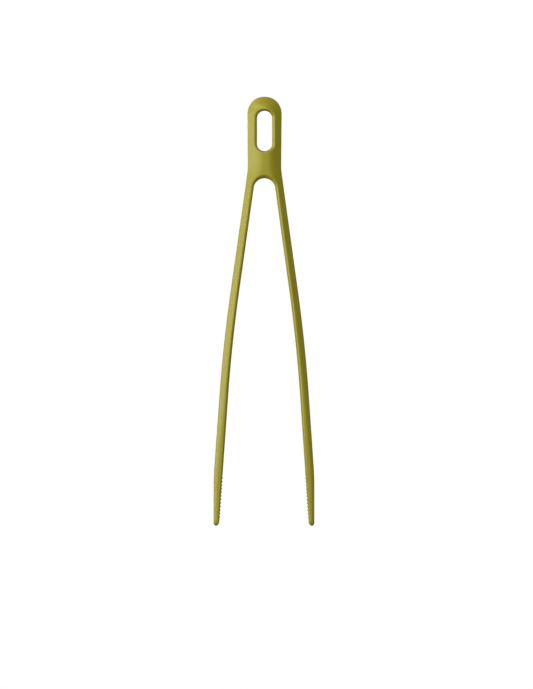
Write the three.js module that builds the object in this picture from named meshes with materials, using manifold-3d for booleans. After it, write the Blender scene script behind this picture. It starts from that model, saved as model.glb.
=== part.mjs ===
// Spring loaded kitchen tongs: a hairpin strip of spring steel with a stiff core in each arm,
// all under one silicone skin with ribbed tips and a slot in the head to hang it by.
//
// Millimetres, +Z up. The arms open along X and the skin is deepest along Y. The origin is the top of
// the hanging slot's inner wall, where a hook carries the tongs.
import * as THREE from "three";
import { mergeVertices } from "three/addons/utils/BufferGeometryUtils.js";
import Module from "manifold-3d";

const wasm = await Module();
wasm.setup();

// ---- Driving dimensions ----

const DEGREE = Math.PI / 180;
const CLEARANCE = 0.3; // left round every piece that sits inside another
const OVERRUN = 1; // how far a cutting shape runs past what it cuts

// Head
const HEAD_TOP_Z = 9.15;
const DOME_RISE = 12.0; // from the dome's centre to the top of the head
const DOME_FULLNESS = 2.15; // 2 is an oval, and more is squarer at the shoulders
const SHOULDER_HALF_WIDTH = 11.5; // at the dome's centre
const WAIST_HALF_WIDTH = 11.2; // just above where the arms spread
const WAIST_Z = -38.5;
const SLOT_HALF_WIDTH = 5.1;
const SLOT_LENGTH = 27.7;
const CROTCH_TOP_Z = -45.7;

// Arms
const FLARE_ANGLE = 7.95 * DEGREE; // of the upper part of each arm
const GRIP_ANGLE = 4 * DEGREE; // of the lower part
const BEND_TOP_Z = -121.5; // the arm curves from one angle to the other between these two heights
const BEND_BOTTOM_Z = -192.5;
const ARM_ROOT_THICKNESS = 5.66; // measured along X, as is the next
const ARM_TIP_THICKNESS = 5.92; // before the tip's straight outer face cuts into it
const ARM_ROOT_X = 10.36; // middle of the arm where it leaves the head
const TIP_SPREAD = 68; // over the outside of both tips
const TIP_Z = -280.6;
const TIP_INNER_RISE = 2.9; // how far up the rounded end begins on the inside
const TIP_OUTER_RISE = 1.9; // and on the outside
const TIP_SIDE_RISE = 3.2; // and on the front and back
const TIP_LOWEST_INSET = 1.7; // from the outer face to the lowest point
const EDGE_SOFTNESS = 0.3; // how far a corner between two runs of the outline is rounded off

// The level section: a side wall, then a face that slopes up and curves over to flat. It is the head's
// down to HEAD_SECTION_Z, and the arms' from ARM_SECTION_Z down.
const HEAD_HALF_DEPTH = 8;
const ROOT_HALF_DEPTH = 7.4;
const TIP_HALF_DEPTH = 5.2;
const FACE_SLOPE = 0.75;
const ROOT_REACH = 8.0; // from the arm's outer edge to where its face is, or would be, flat
const TIP_REACH = 2.3;
const HEAD_CURVE = 8.5; // how much of that reach is curved
const ROOT_CURVE = 4.6;
const TIP_CURVE = 1.8;
const OUTER_CORNER_RADIUS = 0.6; // between the side wall and the face
const INNER_EDGE_RADIUS = 1.5;
const HEAD_SECTION_Z = -33;
const ARM_SECTION_Z = -58;

// Ribs on the inside of each tip
const RIB_COUNT = 12;
const RIB_PITCH = 2.4;
const FIRST_RIB_Z = -248.5;
const RIB_CREST = 0.3; // above the arm's smooth inner face
const RIB_VALLEY = 0.2; // below it
const RIB_CREST_WIDTH = 0.8;
const RIB_VALLEY_WIDTH = 0.6;

// The stretch of each arm that bends
const FLEX_TOP_Z = -54;
const FLEX_BOTTOM_Z = -89;

// Spring strip
const STRIP_THICKNESS = 1.0;
const STRIP_WIDTH = 6.4;
const LEG_X = 8.2; // middle of each leg beside the slot
const LEG_BEND_RADIUS = 30;
const TONGUE_WIDTH = 4; // the narrow end of the strip that the arm core holds
const TONGUE_TOP_Z = FLEX_BOTTOM_Z + 1;
const TONGUE_BOTTOM_Z = -107.5;

// Spacer between the legs, and its two rivets
const BRIDGE_TOP_Z = -30.9;
const BRIDGE_BOTTOM_Z = -41.4;
const BRIDGE_RIVET_HEIGHTS = { upper: -33.7, lower: -38.1 };
const RIVET_SHANK_RADIUS = 1.2;
const RIVET_HEAD_RADIUS = 2;
const RIVET_HEAD_HEIGHT = 0.6;

// Arm core and its two pins
const SKIN = 1.3; // silicone over the arm core
const CORE_BOTTOM_Z = -268;
const CORE_PIN_HEIGHTS = { upper: -94.5, lower: -102.5 };
const CORE_PIN_RADIUS = 0.8;
const KEY_HOLE_RADIUS = 1.6; // holes in the core that the silicone fills, so that it can't slide off
const KEY_HOLE_COUNT = 6;
const FIRST_KEY_HOLE_Z = -122;
const KEY_HOLE_SPACING = 24;

// How finely round shapes are divided
const CIRCLE_SIDES = 20;
const ARC_STEPS = 12;
const LEG_BEND_STEPS = 3;
const SECTION_STEPS = 9; // across each face of the arm
const HEAD_SECTION_STEPS = 17; // an odd number, so that no edge runs down the middle
const WAIST_TOP_Z = -30; // below this the head's sections are closer together
const WAIST_STEPS = 8;
const DOME_STEPS = 7;
const BEND_STEPS = 6;
const LOWER_STEPS = 3; // from the end of the arm's bend to the first rib
const TIP_STEPS = 6;

// ---- Outline of the tongs, seen from the front ----

const DOME_CENTRE_Z = HEAD_TOP_Z - DOME_RISE;

const mix = (a, b, t) => a + (b - a) * t;

function evenlyFrom(from, to, steps) {
  return Array.from({ length: steps + 1 }, (_, i) => mix(from, to, i / steps));
}

function smoothStep(from, to, value) {
  const t = THREE.MathUtils.clamp((value - from) / (to - from), 0, 1);
  return t * t * (3 - 2 * t);
}

function softMax(a, b) {
  return (a + b + Math.hypot(a - b, EDGE_SOFTNESS)) / 2;
}

const softMin = (a, b) => -softMax(-a, -b);

// Distance of the arm's middle line from the centre plane. Through the bend its slope changes evenly.
function armMiddle(z) {
  const upperSlope = Math.tan(FLARE_ANGLE);
  const slopeChange = Math.tan(GRIP_ANGLE) - upperSlope;
  const bendLength = BEND_TOP_Z - BEND_BOTTOM_Z;
  const intoBend = THREE.MathUtils.clamp(BEND_TOP_Z - z, 0, bendLength);
  const pastBend = Math.max(BEND_BOTTOM_Z - z, 0);
  const curve = slopeChange * (intoBend ** 2 / (2 * bendLength) + pastBend);
  return ARM_ROOT_X + upperSlope * (FLEX_TOP_Z - z) + curve;
}

function armHalfThickness(z) {
  const share = (FLEX_TOP_Z - z) / (FLEX_TOP_Z - TIP_Z);
  return mix(ARM_ROOT_THICKNESS, ARM_TIP_THICKNESS, share) / 2;
}

const armInner = (z) => armMiddle(z) - armHalfThickness(z);

const armOuter = (z) => softMin(armMiddle(z) + armHalfThickness(z), TIP_SPREAD / 2);

function headHalfWidth(z) {
  const waisted = (DOME_CENTRE_Z - z) / (DOME_CENTRE_Z - WAIST_Z);
  return softMax(mix(SHOULDER_HALF_WIDTH, WAIST_HALF_WIDTH, waisted), armOuter(z));
}

// ---- Building blocks ----

function solidOf(positions, triangles) {
  const mesh = new wasm.Mesh({
    numProp: 3,
    vertProperties: new Float32Array(positions),
    triVerts: new Uint32Array(triangles),
  });
  return new wasm.Manifold(mesh);
}

function solidOfGeometry(geometry) {
  geometry.deleteAttribute("normal");
  geometry.deleteAttribute("uv");
  const merged = mergeVertices(geometry);
  return solidOf(merged.attributes.position.array, merged.index.array);
}

// A closed solid through level rings from the lowest up. Every ring runs anticlockwise, seen from above,
// through the same number of points.
function loft(rings) {
  const count = rings[0].length;
  const triangles = [];
  for (let level = 0; level + 1 < rings.length; level++) {
    for (let i = 0; i < count; i++) {
      const here = level * count + i;
      const next = level * count + ((i + 1) % count);
      triangles.push(here, next, next + count, here, next + count, here + count);
    }
  }
  const lid = (ring) => THREE.ShapeUtils.triangulateShape(ring.map((p) => new THREE.Vector2(p.x, p.y)), []);
  const top = (rings.length - 1) * count;
  lid(rings[0]).forEach(([a, b, c]) => triangles.push(c, b, a));
  lid(rings.at(-1)).forEach(([a, b, c]) => triangles.push(top + a, top + b, top + c));
  return solidOf(rings.flat().flatMap((p) => [p.x, p.y, p.z]), triangles);
}

// A shape drawn in the front view (its x along X, its y along Z), made solid through the depth.
function extrudeThrough(shape, depth) {
  const geometry = new THREE.ExtrudeGeometry(shape, { depth, bevelEnabled: false, curveSegments: ARC_STEPS });
  geometry.translate(0, 0, -depth / 2);
  geometry.rotateX(Math.PI / 2);
  return solidOfGeometry(geometry);
}

// A shape with straight sides down X and a half circle at each end.
function slotShape(halfWidth, topZ, length) {
  const shape = new THREE.Shape();
  shape.absarc(0, topZ - halfWidth, halfWidth, 0, Math.PI);
  shape.absarc(0, topZ - length + halfWidth, halfWidth, Math.PI, 2 * Math.PI);
  return shape;
}

// The outline of a strip of even thickness along a line of points.
function stripShape(line, thickness) {
  const side = (offset) =>
    line.map((point, i) => {
      const before = line[Math.max(i - 1, 0)];
      const after = line[Math.min(i + 1, line.length - 1)];
      const along = after.clone().sub(before).normalize();
      return new THREE.Vector2(point.x - along.y * offset, point.y + along.x * offset);
    });
  return new THREE.Shape([...side(thickness / 2), ...side(-thickness / 2).reverse()]);
}

function blockShape(halfWidth, topZ, bottomZ) {
  const corners = [[-halfWidth, bottomZ], [halfWidth, bottomZ], [halfWidth, topZ], [-halfWidth, topZ]];
  return new THREE.Shape(corners.map(([x, z]) => new THREE.Vector2(x, z)));
}

// A solid turned about the X axis from [distance along X, radius] pairs, then tilted about Y and placed.
function turnedAlongX(profile, tilt, x, z) {
  const points = profile.map(([along, radius]) => new THREE.Vector2(radius, along));
  const geometry = new THREE.LatheGeometry(points, CIRCLE_SIDES);
  geometry.rotateZ(-Math.PI / 2);
  geometry.rotateY(tilt);
  geometry.translate(x, 0, z);
  return solidOfGeometry(geometry);
}

function rodAlongX(radius, halfLength, tilt, x, z) {
  const profile = [[-halfLength, 0], [-halfLength, radius], [halfLength, radius], [halfLength, 0]];
  return turnedAlongX(profile, tilt, x, z);
}

// ---- Head ----

// Half the depth at a distance in from the outer edge of the head or the arm.
function halfDepth(z, fromOuter) {
  const armShare = 1 - smoothStep(ARM_SECTION_Z, HEAD_SECTION_Z, z);
  const downArm = (ARM_SECTION_Z - z) / (ARM_SECTION_Z - TIP_Z);
  const depth = mix(HEAD_HALF_DEPTH, mix(ROOT_HALF_DEPTH, TIP_HALF_DEPTH, downArm), armShare);
  const reach = mix(SHOULDER_HALF_WIDTH, mix(ROOT_REACH, TIP_REACH, downArm), armShare);
  const curve = mix(HEAD_CURVE, mix(ROOT_CURVE, TIP_CURVE, downArm), armShare);
  const outward = Math.max(reach - fromOuter, 0);
  const t = Math.min(outward / curve, 1);
  const fall = curve * (t ** 3 - t ** 4 / 2) + Math.max(outward - curve, 0);
  return depth - FACE_SLOPE * fall - cornerLoss(OUTER_CORNER_RADIUS, fromOuter);
}

// How much a rounded corner takes off, at a distance from the edge.
function cornerLoss(radius, distance) {
  const within = THREE.MathUtils.clamp(radius - distance, 0, radius);
  return radius - Math.sqrt(radius ** 2 - within ** 2);
}

// A level ring from a line of points that runs inwards over the front, and the same line over the back.
function ringThrough(front) {
  const back = front.map((p) => new THREE.Vector3(p.x, -p.y, p.z));
  return [...front, ...back.reverse()];
}

// How far out a point of the dome lies, from 0 at the dome's centre to 1 on its outline. Both distances
// are shares of the dome's own size.
function outInDome(across, up) {
  return (across ** DOME_FULLNESS + up ** DOME_FULLNESS) ** (1 / DOME_FULLNESS);
}

function headRing(z) {
  const up = Math.max(z - DOME_CENTRE_Z, 0) / DOME_RISE;
  const shareLeft = (1 - up ** DOME_FULLNESS) ** (1 / DOME_FULLNESS);
  const halfWidth = headHalfWidth(Math.min(z, DOME_CENTRE_Z)) * shareLeft;
  const front = evenlyFrom(0, Math.PI, HEAD_SECTION_STEPS).map((angle) => {
    const x = halfWidth * Math.cos(angle);
    const fromDome = SHOULDER_HALF_WIDTH * (1 - outInDome(Math.abs(x) / SHOULDER_HALF_WIDTH, up));
    const fromSide = halfWidth - Math.abs(x);
    return new THREE.Vector3(x, halfDepth(z, up > 0 ? fromDome : fromSide), z);
  });
  return ringThrough(front);
}

function headHeights() {
  const waist = evenlyFrom(FLEX_TOP_Z, WAIST_TOP_Z, WAIST_STEPS);
  const almostTop = 87 * DEGREE; // the topmost section still has a size
  const dome = evenlyFrom(0, almostTop, DOME_STEPS);
  return [...waist, ...dome.map((angle) => DOME_CENTRE_Z + DOME_RISE * Math.sin(angle))];
}

// The arch between the arms: a half circle that runs smoothly into both inner edges.
function crotchShape() {
  const edgeAtTop = armInner(CROTCH_TOP_Z);
  const radius = (edgeAtTop * Math.cos(FLARE_ANGLE)) / (1 - Math.sin(FLARE_ANGLE));
  const below = FLEX_TOP_Z - OVERRUN;
  const shape = new THREE.Shape();
  shape.absarc(0, CROTCH_TOP_Z - radius, radius, FLARE_ANGLE, Math.PI - FLARE_ANGLE);
  shape.lineTo(-armInner(below), below);
  shape.lineTo(armInner(below), below);
  return shape;
}

function headCover() {
  const depth = 2 * (HEAD_HALF_DEPTH + OVERRUN);
  const slot = extrudeThrough(slotShape(SLOT_HALF_WIDTH, 0, SLOT_LENGTH), depth);
  const crotch = extrudeThrough(crotchShape(), depth);
  let cover = loft(headHeights().map(headRing)).subtract(slot).subtract(crotch);
  cover = cover.subtract(springBow(CLEARANCE)).subtract(bridgeBlock(CLEARANCE));
  for (const z of Object.values(BRIDGE_RIVET_HEIGHTS)) {
    cover = cover.subtract(bridgeRivet(z, CLEARANCE));
  }
  return cover;
}

// ---- Spring strip ----

// Half of the hairpin's middle line, from the top of the bow to the end of the leg. The bow passes
// midway between the top of the slot and the top of the head.
function bowLine(endZ) {
  const centreZ = HEAD_TOP_Z / 2 - LEG_X;
  const line = [];
  for (const angle of evenlyFrom(Math.PI / 2, 0, ARC_STEPS)) {
    line.push(new THREE.Vector2(LEG_X * Math.cos(angle), centreZ + LEG_X * Math.sin(angle)));
  }
  const cornerZ = FLEX_TOP_Z + (ARM_ROOT_X - LEG_X) / Math.tan(FLARE_ANGLE);
  const bendStartZ = cornerZ + LEG_BEND_RADIUS * Math.tan(FLARE_ANGLE / 2);
  for (const angle of evenlyFrom(0, FLARE_ANGLE, LEG_BEND_STEPS)) {
    const x = LEG_X + LEG_BEND_RADIUS * (1 - Math.cos(angle));
    line.push(new THREE.Vector2(x, bendStartZ - LEG_BEND_RADIUS * Math.sin(angle)));
  }
  line.push(new THREE.Vector2(armMiddle(endZ), endZ));
  return line;
}

// The hairpin, or the space for it if it is grown all round.
function springBow(growth = 0) {
  const half = bowLine(growth > 0 ? FLEX_TOP_Z - OVERRUN : FLEX_TOP_Z);
  const otherHalf = half.slice(1).map((p) => new THREE.Vector2(-p.x, p.y));
  const shape = stripShape([...otherHalf.reverse(), ...half], STRIP_THICKNESS + 2 * growth);
  const strip = extrudeThrough(shape, STRIP_WIDTH + 2 * growth);
  if (growth > 0) {
    return strip;
  }
  const holes = Object.values(BRIDGE_RIVET_HEIGHTS).map(rivetHole);
  return holes.reduce((rest, hole) => rest.subtract(hole), strip);
}

// The part of the strip that bends, and the narrow tongue that the arm core holds, or the space for them
// if they are grown all round. Drawn for the right arm.
function springLeaf(growth = 0) {
  const stretch = (topZ, bottomZ, width) => {
    const line = [topZ, bottomZ].map((z) => new THREE.Vector2(armMiddle(z), z));
    return extrudeThrough(stripShape(line, STRIP_THICKNESS + 2 * growth), width + 2 * growth);
  };
  const top = growth > 0 ? FLEX_TOP_Z + OVERRUN : FLEX_TOP_Z - CLEARANCE;
  const wide = stretch(top, TONGUE_TOP_Z - growth, STRIP_WIDTH);
  const tongue = stretch(TONGUE_TOP_Z, TONGUE_BOTTOM_Z - growth, TONGUE_WIDTH);
  const leaf = wide.add(tongue);
  return growth > 0 ? leaf : cutPinHoles(leaf);
}

// ---- Spacer and its rivets ----

const rivetHole = (z) => rodAlongX(RIVET_SHANK_RADIUS + CLEARANCE, SHOULDER_HALF_WIDTH, 0, 0, z);

// The spacer, or the space for it if it is grown all round.
function bridgeBlock(growth = 0) {
  const halfWidth = LEG_X - STRIP_THICKNESS / 2 - CLEARANCE + growth;
  const shape = blockShape(halfWidth, BRIDGE_TOP_Z + growth, BRIDGE_BOTTOM_Z - growth);
  const block = extrudeThrough(shape, STRIP_WIDTH + 2 * growth);
  if (growth > 0) {
    return block;
  }
  const holes = Object.values(BRIDGE_RIVET_HEIGHTS).map(rivetHole);
  return holes.reduce((rest, hole) => rest.subtract(hole), block);
}

// A rivet with a head at each end, or the space for it if it is grown all round.
function bridgeRivet(z, growth = 0) {
  const seat = LEG_X + STRIP_THICKNESS / 2 + CLEARANCE - growth;
  const end = seat + RIVET_HEAD_HEIGHT + 2 * growth;
  const shank = RIVET_SHANK_RADIUS + growth;
  const head = RIVET_HEAD_RADIUS + growth;
  const profile = [[-end, 0], [-end, head], [-seat, head], [-seat, shank]];
  profile.push([seat, shank], [seat, head], [end, head], [end, 0]);
  return turnedAlongX(profile, 0, 0, z);
}

// ---- Arms (drawn for the right arm; the left one is the same pieces turned half a turn about Z) ----

// A level section of the arm, shrunk by inset all round. rib moves its inner face.
function armRing(z, inset = 0, rib = 0) {
  const outer = armOuter(z) - inset;
  const inner = armInner(z) - rib + inset;
  const front = evenlyFrom(0, Math.PI, SECTION_STEPS).map((angle) => {
    const x = mix(outer, inner, (1 - Math.cos(angle)) / 2);
    const depth = halfDepth(z, outer - x + inset) - cornerLoss(INNER_EDGE_RADIUS, x - inner + inset);
    return new THREE.Vector3(x, depth - inset, z);
  });
  return ringThrough(front);
}

// Heights of the arm's level sections, from the top of its bend to the first rib.
function plainHeights() {
  const bend = evenlyFrom(BEND_TOP_Z, BEND_BOTTOM_Z, BEND_STEPS);
  const below = evenlyFrom(BEND_BOTTOM_Z, FIRST_RIB_Z + RIB_PITCH / 2, LOWER_STEPS);
  return [...bend, ...below.slice(1)];
}

// The ribbed stretch, as sections from its top down: a flat crest, a flat valley and a slope between.
function ribRings() {
  const rings = [];
  for (let i = 0; i < RIB_COUNT; i++) {
    const crestZ = FIRST_RIB_Z - i * RIB_PITCH;
    const valleyTop = crestZ - RIB_PITCH / 2 + RIB_VALLEY_WIDTH / 2;
    rings.push(armRing(crestZ + RIB_CREST_WIDTH / 2, 0, RIB_CREST));
    rings.push(armRing(crestZ - RIB_CREST_WIDTH / 2, 0, RIB_CREST));
    if (i + 1 < RIB_COUNT) {
      rings.push(armRing(valleyTop, 0, -RIB_VALLEY));
      rings.push(armRing(valleyTop - RIB_VALLEY_WIDTH, 0, -RIB_VALLEY));
    }
  }
  return rings;
}

// How much of its full size is left at a height on a rounded end that begins some way above the tip.
function endShare(z, rise) {
  const down = THREE.MathUtils.clamp((TIP_Z + rise - z) / rise, 0, 1);
  return Math.sqrt(1 - down ** 2);
}

// The rounded end of the arm, drawn in towards its lowest point from every side.
function tipRings() {
  const lowestX = TIP_SPREAD / 2 - TIP_LOWEST_INSET;
  const almostLevel = 84 * DEGREE; // the lowest section still has a size
  return evenlyFrom(0, almostLevel, TIP_STEPS).map((angle) => {
    const z = TIP_Z + TIP_INNER_RISE * (1 - Math.sin(angle));
    const depthShare = 1 - cornerLoss(TIP_SIDE_RISE, z - TIP_Z) / TIP_HALF_DEPTH;
    return armRing(z).map((p) => {
      const share = endShare(z, p.x > lowestX ? TIP_OUTER_RISE : TIP_INNER_RISE);
      return new THREE.Vector3(mix(lowestX, p.x, share), p.y * depthShare, z);
    });
  });
}

function armCover() {
  const smooth = [FLEX_BOTTOM_Z - CLEARANCE, ...plainHeights()].map((z) => armRing(z));
  const rings = [...smooth, ...ribRings(), ...tipRings()];
  const skin = loft(rings.reverse());
  return skin.subtract(armCore(SKIN - CLEARANCE, keyPegs(KEY_HOLE_RADIUS - CLEARANCE)));
}

function rootCover() {
  const rings = [FLEX_BOTTOM_Z, FLEX_TOP_Z - CLEARANCE].map((z) => armRing(z));
  return loft(rings).subtract(springLeaf(CLEARANCE));
}

function acrossArm(radius, z, halfLength = ARM_TIP_THICKNESS) {
  return rodAlongX(radius, halfLength, -FLARE_ANGLE, armMiddle(z), z);
}

function keyPegs(radius) {
  const heights = Array.from({ length: KEY_HOLE_COUNT }, (_, i) => FIRST_KEY_HOLE_Z - i * KEY_HOLE_SPACING);
  return heights.map((z) => acrossArm(radius, z));
}

// The stiff bar in the arm: the skin's outer shape drawn in, with holes across it. Grown by a smaller
// inset it is also the space that the skin leaves for it.
function armCore(inset, holes) {
  const grown = SKIN - inset;
  const top = FLEX_BOTTOM_Z - CLEARANCE + (grown > 0 ? OVERRUN : 0);
  const heights = [top, ...plainHeights(), CORE_BOTTOM_Z - grown];
  const bar = loft(heights.map((z) => armRing(z, inset)).reverse());
  return holes.reduce((rest, hole) => rest.subtract(hole), bar);
}

function armCoreWithHoles() {
  const core = armCore(SKIN, keyPegs(KEY_HOLE_RADIUS));
  return cutPinHoles(core.subtract(springLeaf(CLEARANCE)));
}

function cutPinHoles(solid) {
  const holes = Object.values(CORE_PIN_HEIGHTS).map((z) => acrossArm(CORE_PIN_RADIUS + CLEARANCE, z));
  return holes.reduce((rest, hole) => rest.subtract(hole), solid);
}

const corePin = (z) => acrossArm(CORE_PIN_RADIUS, z, ARM_ROOT_THICKNESS / 2 - SKIN);

// ---- Assembly ----

const MATERIALS = {
  silicone: new THREE.MeshStandardMaterial({ color: "#8f8a33", roughness: 0.5, metalness: 0 }),
  springSteel: new THREE.MeshStandardMaterial({ color: "#b9bbbd", roughness: 0.35, metalness: 1 }),
  nylon: new THREE.MeshStandardMaterial({ color: "#2c2d2e", roughness: 0.6, metalness: 0 }),
};

function namedMesh(name, solid, material) {
  const { vertProperties, triVerts } = solid.getMesh();
  const geometry = new THREE.BufferGeometry();
  geometry.setAttribute("position", new THREE.BufferAttribute(vertProperties, 3));
  geometry.setIndex(new THREE.BufferAttribute(triVerts, 1));
  geometry.computeVertexNormals();
  const mesh = new THREE.Mesh(geometry, material);
  mesh.name = name;
  return mesh;
}

function head() {
  const group = new THREE.Group();
  group.add(namedMesh("head_cover", headCover(), MATERIALS.silicone));
  group.add(namedMesh("spring_bow", springBow(), MATERIALS.springSteel));
  group.add(namedMesh("bridge_block", bridgeBlock(), MATERIALS.nylon));
  for (const [place, z] of Object.entries(BRIDGE_RIVET_HEIGHTS)) {
    group.add(namedMesh(`bridge_rivet_${place}`, bridgeRivet(z), MATERIALS.springSteel));
  }
  return group;
}

function arm(side) {
  const group = new THREE.Group();
  group.add(namedMesh(`${side}_root_cover`, rootCover(), MATERIALS.silicone));
  group.add(namedMesh(`${side}_spring_leaf`, springLeaf(), MATERIALS.springSteel));
  group.add(namedMesh(`${side}_arm_cover`, armCover(), MATERIALS.silicone));
  group.add(namedMesh(`${side}_arm_core`, armCoreWithHoles(), MATERIALS.nylon));
  for (const [place, z] of Object.entries(CORE_PIN_HEIGHTS)) {
    group.add(namedMesh(`${side}_core_pin_${place}`, corePin(z), MATERIALS.springSteel));
  }
  return group;
}

const tongs = new THREE.Group();
tongs.add(head());
tongs.add(arm("right"));
const leftArm = arm("left");
leftArm.rotation.z = Math.PI;
tongs.add(leftArm);

export default tongs;
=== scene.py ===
import math

import bmesh
import bpy
import numpy as np
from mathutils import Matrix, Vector


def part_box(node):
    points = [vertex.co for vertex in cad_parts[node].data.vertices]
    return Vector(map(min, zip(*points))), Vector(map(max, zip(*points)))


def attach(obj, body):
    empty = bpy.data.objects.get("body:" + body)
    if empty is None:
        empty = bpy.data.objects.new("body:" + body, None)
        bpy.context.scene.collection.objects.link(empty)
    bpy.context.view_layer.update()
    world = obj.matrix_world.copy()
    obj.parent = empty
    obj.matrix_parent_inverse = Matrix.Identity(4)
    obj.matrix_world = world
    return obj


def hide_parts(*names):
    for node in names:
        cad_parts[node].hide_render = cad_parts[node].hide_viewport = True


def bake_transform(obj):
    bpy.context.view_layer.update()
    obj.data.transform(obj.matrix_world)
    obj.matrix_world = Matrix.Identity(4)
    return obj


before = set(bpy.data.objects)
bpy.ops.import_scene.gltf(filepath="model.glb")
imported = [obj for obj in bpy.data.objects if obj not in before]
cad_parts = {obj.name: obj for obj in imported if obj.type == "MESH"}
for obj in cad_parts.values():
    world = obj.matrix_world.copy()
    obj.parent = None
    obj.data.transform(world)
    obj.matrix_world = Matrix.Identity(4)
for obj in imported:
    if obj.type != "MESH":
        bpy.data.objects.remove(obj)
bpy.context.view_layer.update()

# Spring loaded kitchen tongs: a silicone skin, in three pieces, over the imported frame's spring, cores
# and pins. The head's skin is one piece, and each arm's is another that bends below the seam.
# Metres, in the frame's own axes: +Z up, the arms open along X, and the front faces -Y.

MM = 0.001

# ---- Places taken from the frame ----

HEAD_LOW, HEAD_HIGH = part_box("head_cover")
ARM_LOW, ARM_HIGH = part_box("right_arm_cover")
HEAD_TOP_Z = HEAD_HIGH[2]
SEAM_Z = HEAD_LOW[2]  # where the arms' skin begins
TIP_Z = ARM_LOW[2]
TIP_OUTER_X = ARM_HIGH[0]

# ---- Driving dimensions of the skin ----

DOME_RISE = 12.0 * MM
DOME_FULLNESS = 2.15  # 2 is an oval, and more is squarer at the shoulders
SHOULDER_HALF_WIDTH = 11.5 * MM
WAIST_HALF_WIDTH = 11.2 * MM
WAIST_Z = -38.5 * MM
SLOT_HALF_WIDTH = 5.1 * MM
SLOT_LENGTH = 27.7 * MM
CROTCH_TOP_Z = -45.7 * MM
WEB_Z = -37 * MM  # a level line across the web, between the slot and the crotch

FLARE_ANGLE = math.radians(7.95)
GRIP_ANGLE = math.radians(4)
BEND_TOP_Z = -121.5 * MM
BEND_BOTTOM_Z = -192.5 * MM
ARM_ROOT_THICKNESS = 5.66 * MM  # measured along X, as is the next
ARM_TIP_THICKNESS = 5.92 * MM
ARM_ROOT_X = 10.36 * MM
EDGE_SOFTNESS = 0.3 * MM

# The level section: a side wall, then a face that slopes up and curves over to flat. It is the head's
# down to HEAD_SECTION_Z, and the arms' from ARM_SECTION_Z down.
HEAD_HALF_DEPTH = 8 * MM
ROOT_HALF_DEPTH = 7.4 * MM
TIP_HALF_DEPTH = 5.2 * MM
FACE_SLOPE = 0.75
ROOT_REACH = 8.0 * MM  # from the arm's outer edge to where its face is, or would be, flat
TIP_REACH = 2.3 * MM  # the same at the tip
HEAD_CURVE = 8.5 * MM  # how much of that reach is curved
ROOT_CURVE = 4.6 * MM
TIP_CURVE = 1.8 * MM
OUTER_CORNER_RADIUS = 0.6 * MM  # between the side wall and the face
HEAD_SECTION_Z = -33 * MM
ARM_SECTION_Z = -58 * MM

# Bevels round the openings and down the inside of the arms
SLOT_SIDE_BEVEL = 2.2 * MM
SLOT_END_BEVEL = 1.1 * MM
ROOT_BEVEL = 2.1 * MM  # round the arch and at the top of the arm
TIP_BEVEL = 1.0 * MM
BEVEL_STEEPNESS = 1.5  # its depth over its width
BEVEL_FULLNESS = 1.45  # 1 is a flat bevel, 2 a quarter circle

PARTING_HEIGHT = 0.06 * MM  # the line that the two halves of the mould leave round the middle plane
PARTING_HALF_WIDTH = 0.15 * MM

RIB_COUNT = 12
RIB_PITCH = 2.4 * MM
FIRST_RIB_Z = -248.5 * MM
RIB_CREST = 0.3 * MM
RIB_VALLEY = 0.2 * MM
RIB_REACH = 1.2 * MM  # how far out from the inner face a rib can still be felt
RIB_FULLNESS = 0.7  # 1 is a plain wave, and less is fuller

TIP_INNER_RISE = 2.9 * MM  # how far up the rounded end begins on the inside
TIP_OUTER_RISE = 1.9 * MM  # and on the outside
TIP_SIDE_RISE = 3.2 * MM  # and on the front and back
TIP_LOWEST_INSET = 1.7 * MM  # from the outer face to the lowest point

DOME_CENTRE_Z = HEAD_TOP_Z - DOME_RISE

WELD_DISTANCE = 0.002 * MM  # points closer than this become one
LEAST_EDGE = 0.001 * MM  # shorter edges are dissolved


# ---- Outline, seen from the front (numbers or arrays) ----

def mix(a, b, t):
    return a + (b - a) * t


def smooth_step(start, end, value):
    """From 0 at start to 1 at end, level at both."""
    t = np.clip((value - start) / (end - start), 0, 1)
    return t * t * (3 - 2 * t)


def soft_max(a, b):
    """The larger of two, with the corner where they cross rounded."""
    return (a + b + np.hypot(a - b, EDGE_SOFTNESS)) / 2


def arm_middle(z):
    """Distance of the arm's middle line from the centre plane; its slope changes evenly through the bend."""
    upper_slope = math.tan(FLARE_ANGLE)
    slope_change = math.tan(GRIP_ANGLE) - upper_slope
    bend_length = BEND_TOP_Z - BEND_BOTTOM_Z
    into_bend = np.clip(BEND_TOP_Z - z, 0, bend_length)
    past_bend = np.maximum(BEND_BOTTOM_Z - z, 0)
    curve = slope_change * (into_bend**2 / (2 * bend_length) + past_bend)
    return ARM_ROOT_X + upper_slope * (SEAM_Z - z) + curve


def arm_half_thickness(z):
    return mix(ARM_ROOT_THICKNESS, ARM_TIP_THICKNESS, (SEAM_Z - z) / (SEAM_Z - TIP_Z)) / 2


def arm_inner(z):
    return arm_middle(z) - arm_half_thickness(z)


def arm_outer(z):
    return -soft_max(-(arm_middle(z) + arm_half_thickness(z)), -TIP_OUTER_X)


def head_half_width(z):
    """From the shoulders down: it narrows to the waist, then widens with the arms."""
    waisted = (DOME_CENTRE_Z - z) / (DOME_CENTRE_Z - WAIST_Z)
    return soft_max(mix(SHOULDER_HALF_WIDTH, WAIST_HALF_WIDTH, waisted), arm_outer(z))


ARCH_RADIUS = arm_inner(CROTCH_TOP_Z) * math.cos(FLARE_ANGLE) / (1 - math.sin(FLARE_ANGLE))
ARCH_CENTRE_Z = CROTCH_TOP_Z - ARCH_RADIUS


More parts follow.
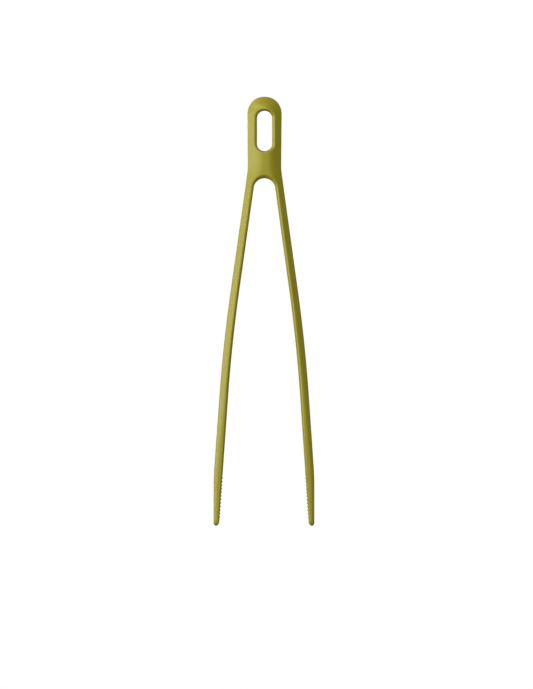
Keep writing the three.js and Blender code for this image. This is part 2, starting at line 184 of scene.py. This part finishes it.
def distance_to_crotch(x, z):
    """Distance on the front face from the nearest edge of the arch or of the arm below it."""
    from_arch = np.hypot(x, z - ARCH_CENTRE_Z) - ARCH_RADIUS
    from_arm_edge = (x - arm_inner(z)) * math.cos(FLARE_ANGLE)
    below_arch = z < ARCH_CENTRE_Z + ARCH_RADIUS * math.sin(FLARE_ANGLE)
    return np.where(below_arch, from_arm_edge, from_arch)


# ---- The level section ----

def half_depth(z, from_outer):
    """Half the depth at a distance in from the outer edge."""
    arm_share = 1 - smooth_step(ARM_SECTION_Z, HEAD_SECTION_Z, z)
    down_arm = (ARM_SECTION_Z - z) / (ARM_SECTION_Z - TIP_Z)
    depth = mix(HEAD_HALF_DEPTH, mix(ROOT_HALF_DEPTH, TIP_HALF_DEPTH, down_arm), arm_share)
    reach = mix(SHOULDER_HALF_WIDTH, mix(ROOT_REACH, TIP_REACH, down_arm), arm_share)
    curve = mix(HEAD_CURVE, mix(ROOT_CURVE, TIP_CURVE, down_arm), arm_share)
    outward = np.maximum(reach - from_outer, 0)
    t = np.minimum(outward / curve, 1)
    fall = curve * (t**3 - t**4 / 2) + np.maximum(outward - curve, 0)
    return depth - FACE_SLOPE * fall - corner_loss(OUTER_CORNER_RADIUS, from_outer)


def corner_loss(radius, distance):
    """How much a rounded corner takes off at a distance from the edge."""
    within = np.clip(radius - distance, 0, radius)
    return radius - np.sqrt(radius**2 - within**2)


def bevel_loss(width, distance):
    """How much a bevel with softened corners takes off at a distance from the edge."""
    inward = np.clip(1 - distance / width, 0, 1)
    return BEVEL_STEEPNESS * width * (1 - (1 - inward**BEVEL_FULLNESS) ** (1 / BEVEL_FULLNESS))


def inner_bevel(z, distance):
    """What the bevel round the arch and down the inside of the arm takes off."""
    width = np.interp(z, (TIP_Z, SEAM_Z), (TIP_BEVEL, ROOT_BEVEL))
    return bevel_loss(width, distance)


def slot_bevel(x, z):
    """What the bevel round the slot takes off. It is wider beside the slot than over and under it."""
    from_middle = z - np.clip(z, SLOT_HALF_WIDTH - SLOT_LENGTH, -SLOT_HALF_WIDTH)
    radius = np.hypot(x, from_middle)
    width = mix(SLOT_END_BEVEL, SLOT_SIDE_BEVEL, (x / radius) ** 2)
    return bevel_loss(width, radius - SLOT_HALF_WIDTH)


def head_half_depth(x, z):
    """Half the head's depth at a point of its front view, for x of 0 or more."""
    across = x / SHOULDER_HALF_WIDTH
    up = np.maximum(z - DOME_CENTRE_Z, 0) / DOME_RISE
    out_in_dome = (across**DOME_FULLNESS + up**DOME_FULLNESS) ** (1 / DOME_FULLNESS)
    from_dome = SHOULDER_HALF_WIDTH * (1 - out_in_dome)
    from_side = head_half_width(z) - x
    from_outer = np.where(z > DOME_CENTRE_Z, from_dome, from_side)
    bevel = np.maximum(slot_bevel(x, z), inner_bevel(z, distance_to_crotch(x, z)))
    return half_depth(z, from_outer) - bevel


# ---- Mesh helpers ----

def new_object(name, mesh):
    obj = bpy.data.objects.new(name, mesh)
    bpy.context.scene.collection.objects.link(obj)
    return obj


def finished_mesh(name, bm, sharp_angle=60):
    """Welds, faces outwards, shades smooth with sharp edges where faces meet at a steep angle."""
    bmesh.ops.remove_doubles(bm, verts=bm.verts, dist=WELD_DISTANCE)
    bmesh.ops.dissolve_degenerate(bm, edges=bm.edges, dist=LEAST_EDGE)
    bmesh.ops.recalc_face_normals(bm, faces=bm.faces)
    for face in bm.faces:
        face.smooth = True
    for edge in bm.edges:
        edge.smooth = edge.calc_face_angle(0) < math.radians(sharp_angle)
    mesh = bpy.data.meshes.new(name)
    bm.to_mesh(mesh)
    bm.free()
    return mesh


def add_grid(bm, points, closed=False):
    """Quads over a grid of points, shape (rows, columns, 3). closed joins each row's ends."""
    rows, columns, _ = points.shape
    verts = [[bm.verts.new(p) for p in row] for row in points]
    for r in range(rows - 1):
        for c in range(columns if closed else columns - 1):
            nxt = (c + 1) % columns
            bm.faces.new((verts[r][c], verts[r][nxt], verts[r + 1][nxt], verts[r + 1][c]))
    return verts


# ---- Head ----

ACROSS_STEPS = 28  # from an opening's edge to the outline
ARC_STEPS = 30
SIDE_STEPS = 32
CORNER_STEPS = 16
LEG_STEPS = 10
EDGE_STRIP_STEPS = 4


def arc(centre_z, radius, start, end, steps):
    """Points (x, z) on a circle round (0, centre_z); angles in degrees, measured from +X towards +Z."""
    angle = np.radians(np.linspace(start, end, steps + 1))
    return np.stack([radius * np.cos(angle), centre_z + radius * np.sin(angle)], axis=1)


def dome_line(steps):
    """Points from the top of the head round the dome to its shoulder."""
    angle = np.linspace(math.pi / 2, 0, steps + 1)
    x = SHOULDER_HALF_WIDTH * np.cos(angle) ** (2 / DOME_FULLNESS)
    z = DOME_CENTRE_Z + DOME_RISE * np.sin(angle) ** (2 / DOME_FULLNESS)
    return np.stack([x, z], axis=1)


def line(start, end, steps):
    """Points (x, z) along a straight line."""
    return np.linspace(start, end, steps + 1)


def side_line(top_z, bottom_z, steps):
    """Points down the head's outline."""
    z = np.linspace(top_z, bottom_z, steps + 1)
    return np.stack([head_half_width(z), z], axis=1)


def chain(*stretches):
    """One line of points from stretches that each start where the last one ended."""
    return np.concatenate([stretches[0]] + [s[1:] for s in stretches[1:]])


def slot_block():
    """Inner and outer lines of the face round the slot, from the top of the head down to the web, and
    which of the outer line's points are on the head's outline."""
    straight_top, straight_bottom = -SLOT_HALF_WIDTH, SLOT_HALF_WIDTH - SLOT_LENGTH
    web_corner = (float(head_half_width(WEB_Z)), WEB_Z)
    inner = chain(
        arc(straight_top, SLOT_HALF_WIDTH, 90, 0, ARC_STEPS),
        line((SLOT_HALF_WIDTH, straight_top), (SLOT_HALF_WIDTH, straight_bottom), SIDE_STEPS),
        arc(straight_bottom, SLOT_HALF_WIDTH, 0, -90, 2 * CORNER_STEPS),
    )
    outer = chain(
        dome_line(ARC_STEPS),
        side_line(DOME_CENTRE_Z, straight_bottom, SIDE_STEPS),
        side_line(straight_bottom, WEB_Z, CORNER_STEPS),
        line(web_corner, (0, WEB_Z), CORNER_STEPS),
    )
    return inner, outer, slice(0, ARC_STEPS + SIDE_STEPS + CORNER_STEPS + 1)


def crotch_block():
    """The same for the face round the crotch, from the web down to the seam."""
    web_corner = (float(head_half_width(WEB_Z)), WEB_Z)
    tangent = math.degrees(FLARE_ANGLE)
    arch_end = (ARCH_RADIUS * math.cos(FLARE_ANGLE), ARCH_CENTRE_Z + ARCH_RADIUS * math.sin(FLARE_ANGLE))
    arch_middle = 50  # degrees; faces the web's corner
    inner = chain(
        arc(ARCH_CENTRE_Z, ARCH_RADIUS, 90, arch_middle, CORNER_STEPS),
        arc(ARCH_CENTRE_Z, ARCH_RADIUS, arch_middle, tangent, CORNER_STEPS),
        line(arch_end, (float(arm_inner(SEAM_Z)), SEAM_Z), LEG_STEPS),
    )
    outer = chain(
        line((0, WEB_Z), web_corner, CORNER_STEPS),
        side_line(WEB_Z, SEAM_Z, CORNER_STEPS + LEG_STEPS),
    )
    return inner, outer, slice(CORNER_STEPS, None)


def edge_strip(rim, outward):
    """The skin from a face's rim back to the middle plane, where the mould left its parting line."""
    levels = np.linspace(1, 0, EDGE_STRIP_STEPS + 1)
    strip = rim[:, None, :] * np.ones((1, EDGE_STRIP_STEPS + 2, 1))
    strip[:, :-1, 1] = mix(PARTING_HALF_WIDTH, rim[:, 1:2], levels)
    strip[:, -1, 1] = 0
    strip[:, -1, ::2] += outward * PARTING_HEIGHT
    return strip


def head_quarter():
    """Grids of points for a quarter of the head's skin: its faces and the strips behind their rims."""
    spread = (1 - np.cos(np.linspace(0, math.pi, ACROSS_STEPS + 1))) / 2
    grids = []
    for inner, outer, outline in (slot_block(), crotch_block()):
        across = outer - inner
        flat = inner[:, None, :] + across[:, None, :] * spread[None, :, None]
        x, z = flat[..., 0], flat[..., 1]
        face = np.stack([x, head_half_depth(x, z), z], axis=-1)
        outward = across / np.linalg.norm(across, axis=1, keepdims=True)
        grids += [face, edge_strip(face[:, 0], -outward), edge_strip(face[outline, -1], outward[outline])]
    return grids


def build_head():
    """Four mirrored quarters, welded, with a cap over each arm's seam."""
    bm = bmesh.new()
    for points in head_quarter():
        for side in (1, -1):
            for front in (1, -1):
                add_grid(bm, points * np.array([side, front, 1]))
    bmesh.ops.remove_doubles(bm, verts=bm.verts, dist=WELD_DISTANCE)
    rim = [e for e in bm.edges if e.is_boundary]
    bmesh.ops.holes_fill(bm, edges=rim, sides=0)
    return new_object("head_skin", finished_mesh("head_skin", bm))


# ---- Arms ----

ARM_FACE_STEPS = 26  # across each face of the arm
STRAIGHT_SPACING = 1.2 * MM
RIB_STEPS = 20  # sections to each rib
TIP_STEPS = 18
LAST_TIP_ANGLE = 88  # degrees; the lowest ring still has a size
LEAF_CUT_SPACING = 2 * MM


def rib_height(z):
    """How far the ribs lift the inner face: rounded crests, and valleys a little below the face."""
    first = FIRST_RIB_Z + RIB_PITCH / 2
    last = first - RIB_COUNT * RIB_PITCH
    wave = np.cos(2 * math.pi * (z - FIRST_RIB_Z) / RIB_PITCH)
    lifted = np.where(wave > 0, RIB_CREST, RIB_VALLEY) * np.sign(wave) * np.abs(wave) ** RIB_FULLNESS
    return np.where((z < first) & (z > last), lifted, 0.0)


def arm_ring(z):
    """A level ring of points round the right arm, from the parting line on its outer side."""
    outer, inner = float(arm_outer(z)), float(arm_inner(z))
    spread = (1 - np.cos(np.linspace(0, math.pi, ARM_FACE_STEPS + 1))) / 2
    x = mix(outer, inner, spread)
    y = half_depth(z, outer - x) - inner_bevel(z, x - inner)
    x = x - float(rib_height(z)) * smooth_step(RIB_REACH, 0, x - inner)
    face = np.stack([x, y, np.full_like(x, z)], axis=1)
    outer_strip = edge_strip(face[:1], np.array([[1, 0]]))[0]
    inner_strip = edge_strip(face[-1:], np.array([[-1, 0]]))[0]
    half = np.concatenate([outer_strip[:0:-1], face, inner_strip[1:]])
    other_half = half[-2:0:-1] * np.array([1, -1, 1])
    return np.concatenate([half, other_half])


def ring_heights():
    """Heights of the arm's rings down to its rounded end, closer together through the ribs."""
    ribs_top = FIRST_RIB_Z + RIB_PITCH / 2
    ribs_bottom = ribs_top - RIB_COUNT * RIB_PITCH
    plain = np.linspace(SEAM_Z, ribs_top, round((SEAM_Z - ribs_top) / STRAIGHT_SPACING) + 1)
    ribbed = np.linspace(ribs_top, ribs_bottom, RIB_COUNT * RIB_STEPS + 1)
    return np.concatenate([plain, ribbed[1:]])


def end_share(z, rise):
    """How much of its full size is left at a height on a rounded end that begins some way above the tip."""
    down = np.clip((TIP_Z + rise - z) / rise, 0, 1)
    return np.sqrt(1 - down**2)


def tip_rings():
    """The rounded end of the arm, drawn in towards its lowest point from every side."""
    lowest_x = TIP_OUTER_X - TIP_LOWEST_INSET
    rings = []
    for angle in np.radians(np.linspace(0, LAST_TIP_ANGLE, TIP_STEPS + 1)):
        z = TIP_Z + TIP_INNER_RISE * (1 - math.sin(angle))
        ring = arm_ring(z)
        rise = np.where(ring[:, 0] > lowest_x, TIP_OUTER_RISE, TIP_INNER_RISE)
        ring[:, 0] = mix(lowest_x, ring[:, 0], end_share(z, rise))
        ring[:, 1] *= 1 - corner_loss(TIP_SIDE_RISE, z - TIP_Z) / TIP_HALF_DEPTH
        rings.append(ring)
    return rings


def build_arm(name, side):
    """One arm's skin, closed at both ends. side is 1 on the right and -1 on the left."""
    points = np.array([arm_ring(z) for z in ring_heights()] + tip_rings())
    points[..., 0] *= side
    bm = bmesh.new()
    verts = add_grid(bm, points, closed=True)
    bm.faces.new(verts[0])
    bm.faces.new(verts[-1])
    return new_object(name, finished_mesh(name, bm))


# ---- The strip's bending leaves ----

def build_leaf(name, node):
    """A copy of the frame's leaf with enough cuts along it to bend."""
    bm = bmesh.new()
    bm.from_mesh(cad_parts[node].data)
    low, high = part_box(node)
    for z in np.arange(low[2] + LEAF_CUT_SPACING, high[2], LEAF_CUT_SPACING):
        everything = bm.verts[:] + bm.edges[:] + bm.faces[:]
        bmesh.ops.bisect_plane(bm, geom=everything, plane_co=(0, 0, z), plane_no=(0, 0, 1))
    return new_object(name, finished_mesh(name, bm, sharp_angle=30))


# ---- Materials ----

def material(name):
    mat = bpy.data.materials.new(name)
    mat.use_nodes = True
    return mat, mat.node_tree.nodes, mat.node_tree.links


def noise(nodes, links, scale, detail=4.0):
    """Noise in the frame's own space. A scale of 1000 makes spots about 1 mm across."""
    coords = nodes.new("ShaderNodeTexCoord")
    texture = nodes.new("ShaderNodeTexNoise")
    texture.inputs["Scale"].default_value = scale
    texture.inputs["Detail"].default_value = detail
    links.new(coords.outputs["Object"], texture.inputs["Vector"])
    return texture.outputs["Fac"]


def mapped(nodes, links, value, low, high, from_low=0.3, from_high=0.7):
    """Stretches the middle of a noise over a range."""
    node = nodes.new("ShaderNodeMapRange")
    node.inputs["From Min"].default_value = from_low
    node.inputs["From Max"].default_value = from_high
    node.inputs["To Min"].default_value = low
    node.inputs["To Max"].default_value = high
    links.new(value, node.inputs["Value"])
    return node.outputs["Result"]


def varied_colour(nodes, links, value, dark, light):
    """A colour that drifts from dark to light with a noise."""
    ramp = nodes.new("ShaderNodeValToRGB")
    ramp.color_ramp.elements[0].position = 0.3
    ramp.color_ramp.elements[0].color = (*dark, 1)
    ramp.color_ramp.elements[1].position = 0.7
    ramp.color_ramp.elements[1].color = (*light, 1)
    links.new(value, ramp.inputs["Fac"])
    return ramp.outputs["Color"]


def bump(nodes, links, height, distance, strength, under=None):
    """Relief from a noise, laid over the relief in under if there is one."""
    node = nodes.new("ShaderNodeBump")
    node.inputs["Distance"].default_value = distance
    node.inputs["Strength"].default_value = strength
    links.new(height, node.inputs["Height"])
    if under is not None:
        links.new(under, node.inputs["Normal"])
    return node.outputs["Normal"]


def silicone():
    """Moulded olive silicone: satin, with a fine soft grain, slight waviness and hazy worn patches."""
    mat, nodes, links = material("silicone")
    shader = nodes["Principled BSDF"]
    tint = varied_colour(nodes, links, noise(nodes, links, 45), (0.41, 0.366, 0.027), (0.43, 0.384, 0.030))
    links.new(tint, shader.inputs["Base Color"])
    links.new(mapped(nodes, links, noise(nodes, links, 160, 6), 0.31, 0.37), shader.inputs["Roughness"])
    waviness = bump(nodes, links, noise(nodes, links, 120, 2), 0.015 * MM, 0.4)
    grain = bump(nodes, links, noise(nodes, links, 2600, 3), 0.003 * MM, 0.4, waviness)
    links.new(grain, shader.inputs["Normal"])
    shader.inputs["IOR"].default_value = 1.43
    return mat


def spring_steel():
    """Rolled stainless strip: long fine scratches along Z."""
    mat, nodes, links = material("spring_steel")
    shader = nodes["Principled BSDF"]
    coords = nodes.new("ShaderNodeTexCoord")
    stretch = nodes.new("ShaderNodeMapping")
    stretch.inputs["Scale"].default_value = (1, 1, 0.02)
    texture = nodes.new("ShaderNodeTexNoise")
    texture.inputs["Scale"].default_value = 6000
    links.new(coords.outputs["Object"], stretch.inputs["Vector"])
    links.new(stretch.outputs["Vector"], texture.inputs["Vector"])
    scratches = texture.outputs["Fac"]
    tint = varied_colour(nodes, links, scratches, (0.50, 0.50, 0.51), (0.66, 0.66, 0.67))
    links.new(tint, shader.inputs["Base Color"])
    links.new(mapped(nodes, links, scratches, 0.24, 0.38), shader.inputs["Roughness"])
    links.new(bump(nodes, links, scratches, 0.005 * MM, 0.5), shader.inputs["Normal"])
    shader.inputs["Metallic"].default_value = 1
    return mat


def nylon():
    """Glass-filled nylon: nearly black, with a mottled, slightly fibrous surface."""
    mat, nodes, links = material("nylon")
    shader = nodes["Principled BSDF"]
    mottling = noise(nodes, links, 1500, 6)
    tint = varied_colour(nodes, links, mottling, (0.018, 0.018, 0.019), (0.034, 0.034, 0.035))
    links.new(tint, shader.inputs["Base Color"])
    links.new(mapped(nodes, links, noise(nodes, links, 2500), 0.5, 0.68), shader.inputs["Roughness"])
    links.new(bump(nodes, links, noise(nodes, links, 3500), 0.02 * MM, 0.5), shader.inputs["Normal"])
    return mat


# ---- Stage, light and camera ----

CAMERA_DISTANCE = 3.5
VIEW_HEIGHT = 0.4656  # seen at the object, from the bottom of the picture to its top
VIEW_CENTRE = Vector((0.00154, 0, -0.15817))
VIEW_ROLL = math.radians(-0.086)
SENSOR_MM = 36
CLIP_END = 30
FLOOR_HALF_SIZE = 8
FLOOR_GAP = 2 * MM  # the tips hang clear of the floor
SOFTBOX_DISTANCE = 1.2
SOFTBOX_HEIGHT = 0.6


def build_floor():
    """A white floor that glows only for the camera, so that it neither tints nor shades the tongs."""
    bm = bmesh.new()
    bmesh.ops.create_grid(bm, x_segments=1, y_segments=1, size=FLOOR_HALF_SIZE)
    floor = new_object("floor", finished_mesh("floor", bm))
    floor.location.z = TIP_Z - FLOOR_GAP
    mat, nodes, links = material("pale_floor")
    nodes.remove(nodes["Principled BSDF"])
    glow = nodes.new("ShaderNodeEmission")
    glow.inputs["Color"].default_value = (1, 1, 1, 1)
    links.new(glow.outputs["Emission"], nodes["Material Output"].inputs["Surface"])
    floor.data.materials.append(mat)
    floor.visible_diffuse = False
    floor.visible_glossy = False
    floor.visible_shadow = False


def build_world():
    """A white background that, like the floor, lights nothing."""
    world = bpy.data.worlds.new("studio")
    world.use_nodes = True
    world.node_tree.nodes["Background"].inputs["Color"].default_value = (1, 1, 1, 1)
    world.cycles_visibility.diffuse = False
    world.cycles_visibility.glossy = False
    bpy.context.scene.world = world
    bpy.context.scene.view_settings.view_transform = "Standard"


def softbox(name, azimuth, elevation, width, power):
    """A panel that faces the middle of the tongs. azimuth is in degrees to the right of the camera."""
    data = bpy.data.lights.new(name, "AREA")
    data.shape = "RECTANGLE"
    data.size, data.size_y = width, SOFTBOX_HEIGHT
    data.energy = power
    lamp = bpy.data.objects.new(name, data)
    bpy.context.scene.collection.objects.link(lamp)
    around, up = math.radians(azimuth), math.radians(elevation)
    outward = Vector((math.sin(around) * math.cos(up), -math.cos(around) * math.cos(up), math.sin(up)))
    lamp.location = Vector((0, 0, (HEAD_TOP_Z + TIP_Z) / 2)) + SOFTBOX_DISTANCE * outward
    lamp.rotation_euler = outward.to_track_quat("Z", "Y").to_euler()
    lamp.visible_camera = False


def build_lights():
    """Azimuth and elevation in degrees, width in metres and power in watts."""
    softbox("left_wall", -72, 0, 0.95, 6.1)
    softbox("left_front", -30, 0, 0.85, 3.4)
    softbox("top_left", -60, 40, 0.45, 2.8)
    softbox("top_front", -15, 40, 0.60, 5.2)
    softbox("low_right", 60, -40, 0.45, 2.4)
    softbox("right_front", 20, 0, 0.45, 0.9)
    softbox("back_left", -145, 20, 0.60, 2.4)
    softbox("back_right", 140, 20, 0.60, 1.8)


def build_camera():
    """Straight in front, far away and narrow, so that the view is almost without perspective."""
    data = bpy.data.cameras.new("camera")
    data.sensor_width = SENSOR_MM
    data.lens = SENSOR_MM * CAMERA_DISTANCE / VIEW_HEIGHT
    data.clip_end = CLIP_END
    camera = bpy.data.objects.new("camera", data)
    bpy.context.scene.collection.objects.link(camera)
    camera.location = VIEW_CENTRE + Vector((0, -CAMERA_DISTANCE, 0))
    camera.rotation_euler = (math.pi / 2, VIEW_ROLL, 0)
    bpy.context.scene.camera = camera


# ---- Assembly ----

STEEL_NODES = ["spring_bow", "bridge_rivet_upper", "bridge_rivet_lower"]
NYLON_NODES = ["bridge_block"]
for side_name in ("left", "right"):
    STEEL_NODES += [f"{side_name}_core_pin_upper", f"{side_name}_core_pin_lower"]
    NYLON_NODES.append(f"{side_name}_arm_core")


def paint(obj, mat):
    obj.data.materials.clear()
    obj.data.materials.append(mat)


def assemble():
    """Makes the pieces, ties the head's skin to its body, and gives the frame's own nodes their materials.
    """
    skin, steel, plastic = silicone(), spring_steel(), nylon()
    head = build_head()
    paint(head, skin)
    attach(head, "head")
    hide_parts("head_cover")
    for name, side in (("left", -1), ("right", 1)):
        arm = build_arm(f"{name}_arm_skin", side)
        paint(arm, skin)
        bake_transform(arm)
        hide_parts(f"{name}_root_cover", f"{name}_arm_cover")
        leaf = build_leaf(f"{name}_leaf", f"{name}_spring_leaf")
        paint(leaf, steel)
        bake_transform(leaf)
        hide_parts(f"{name}_spring_leaf")
    for node in STEEL_NODES:
        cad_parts[node].material_slots[0].material = steel
    for node in NYLON_NODES:
        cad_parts[node].material_slots[0].material = plastic


assemble()
build_floor()
build_world()
build_lights()
build_camera()
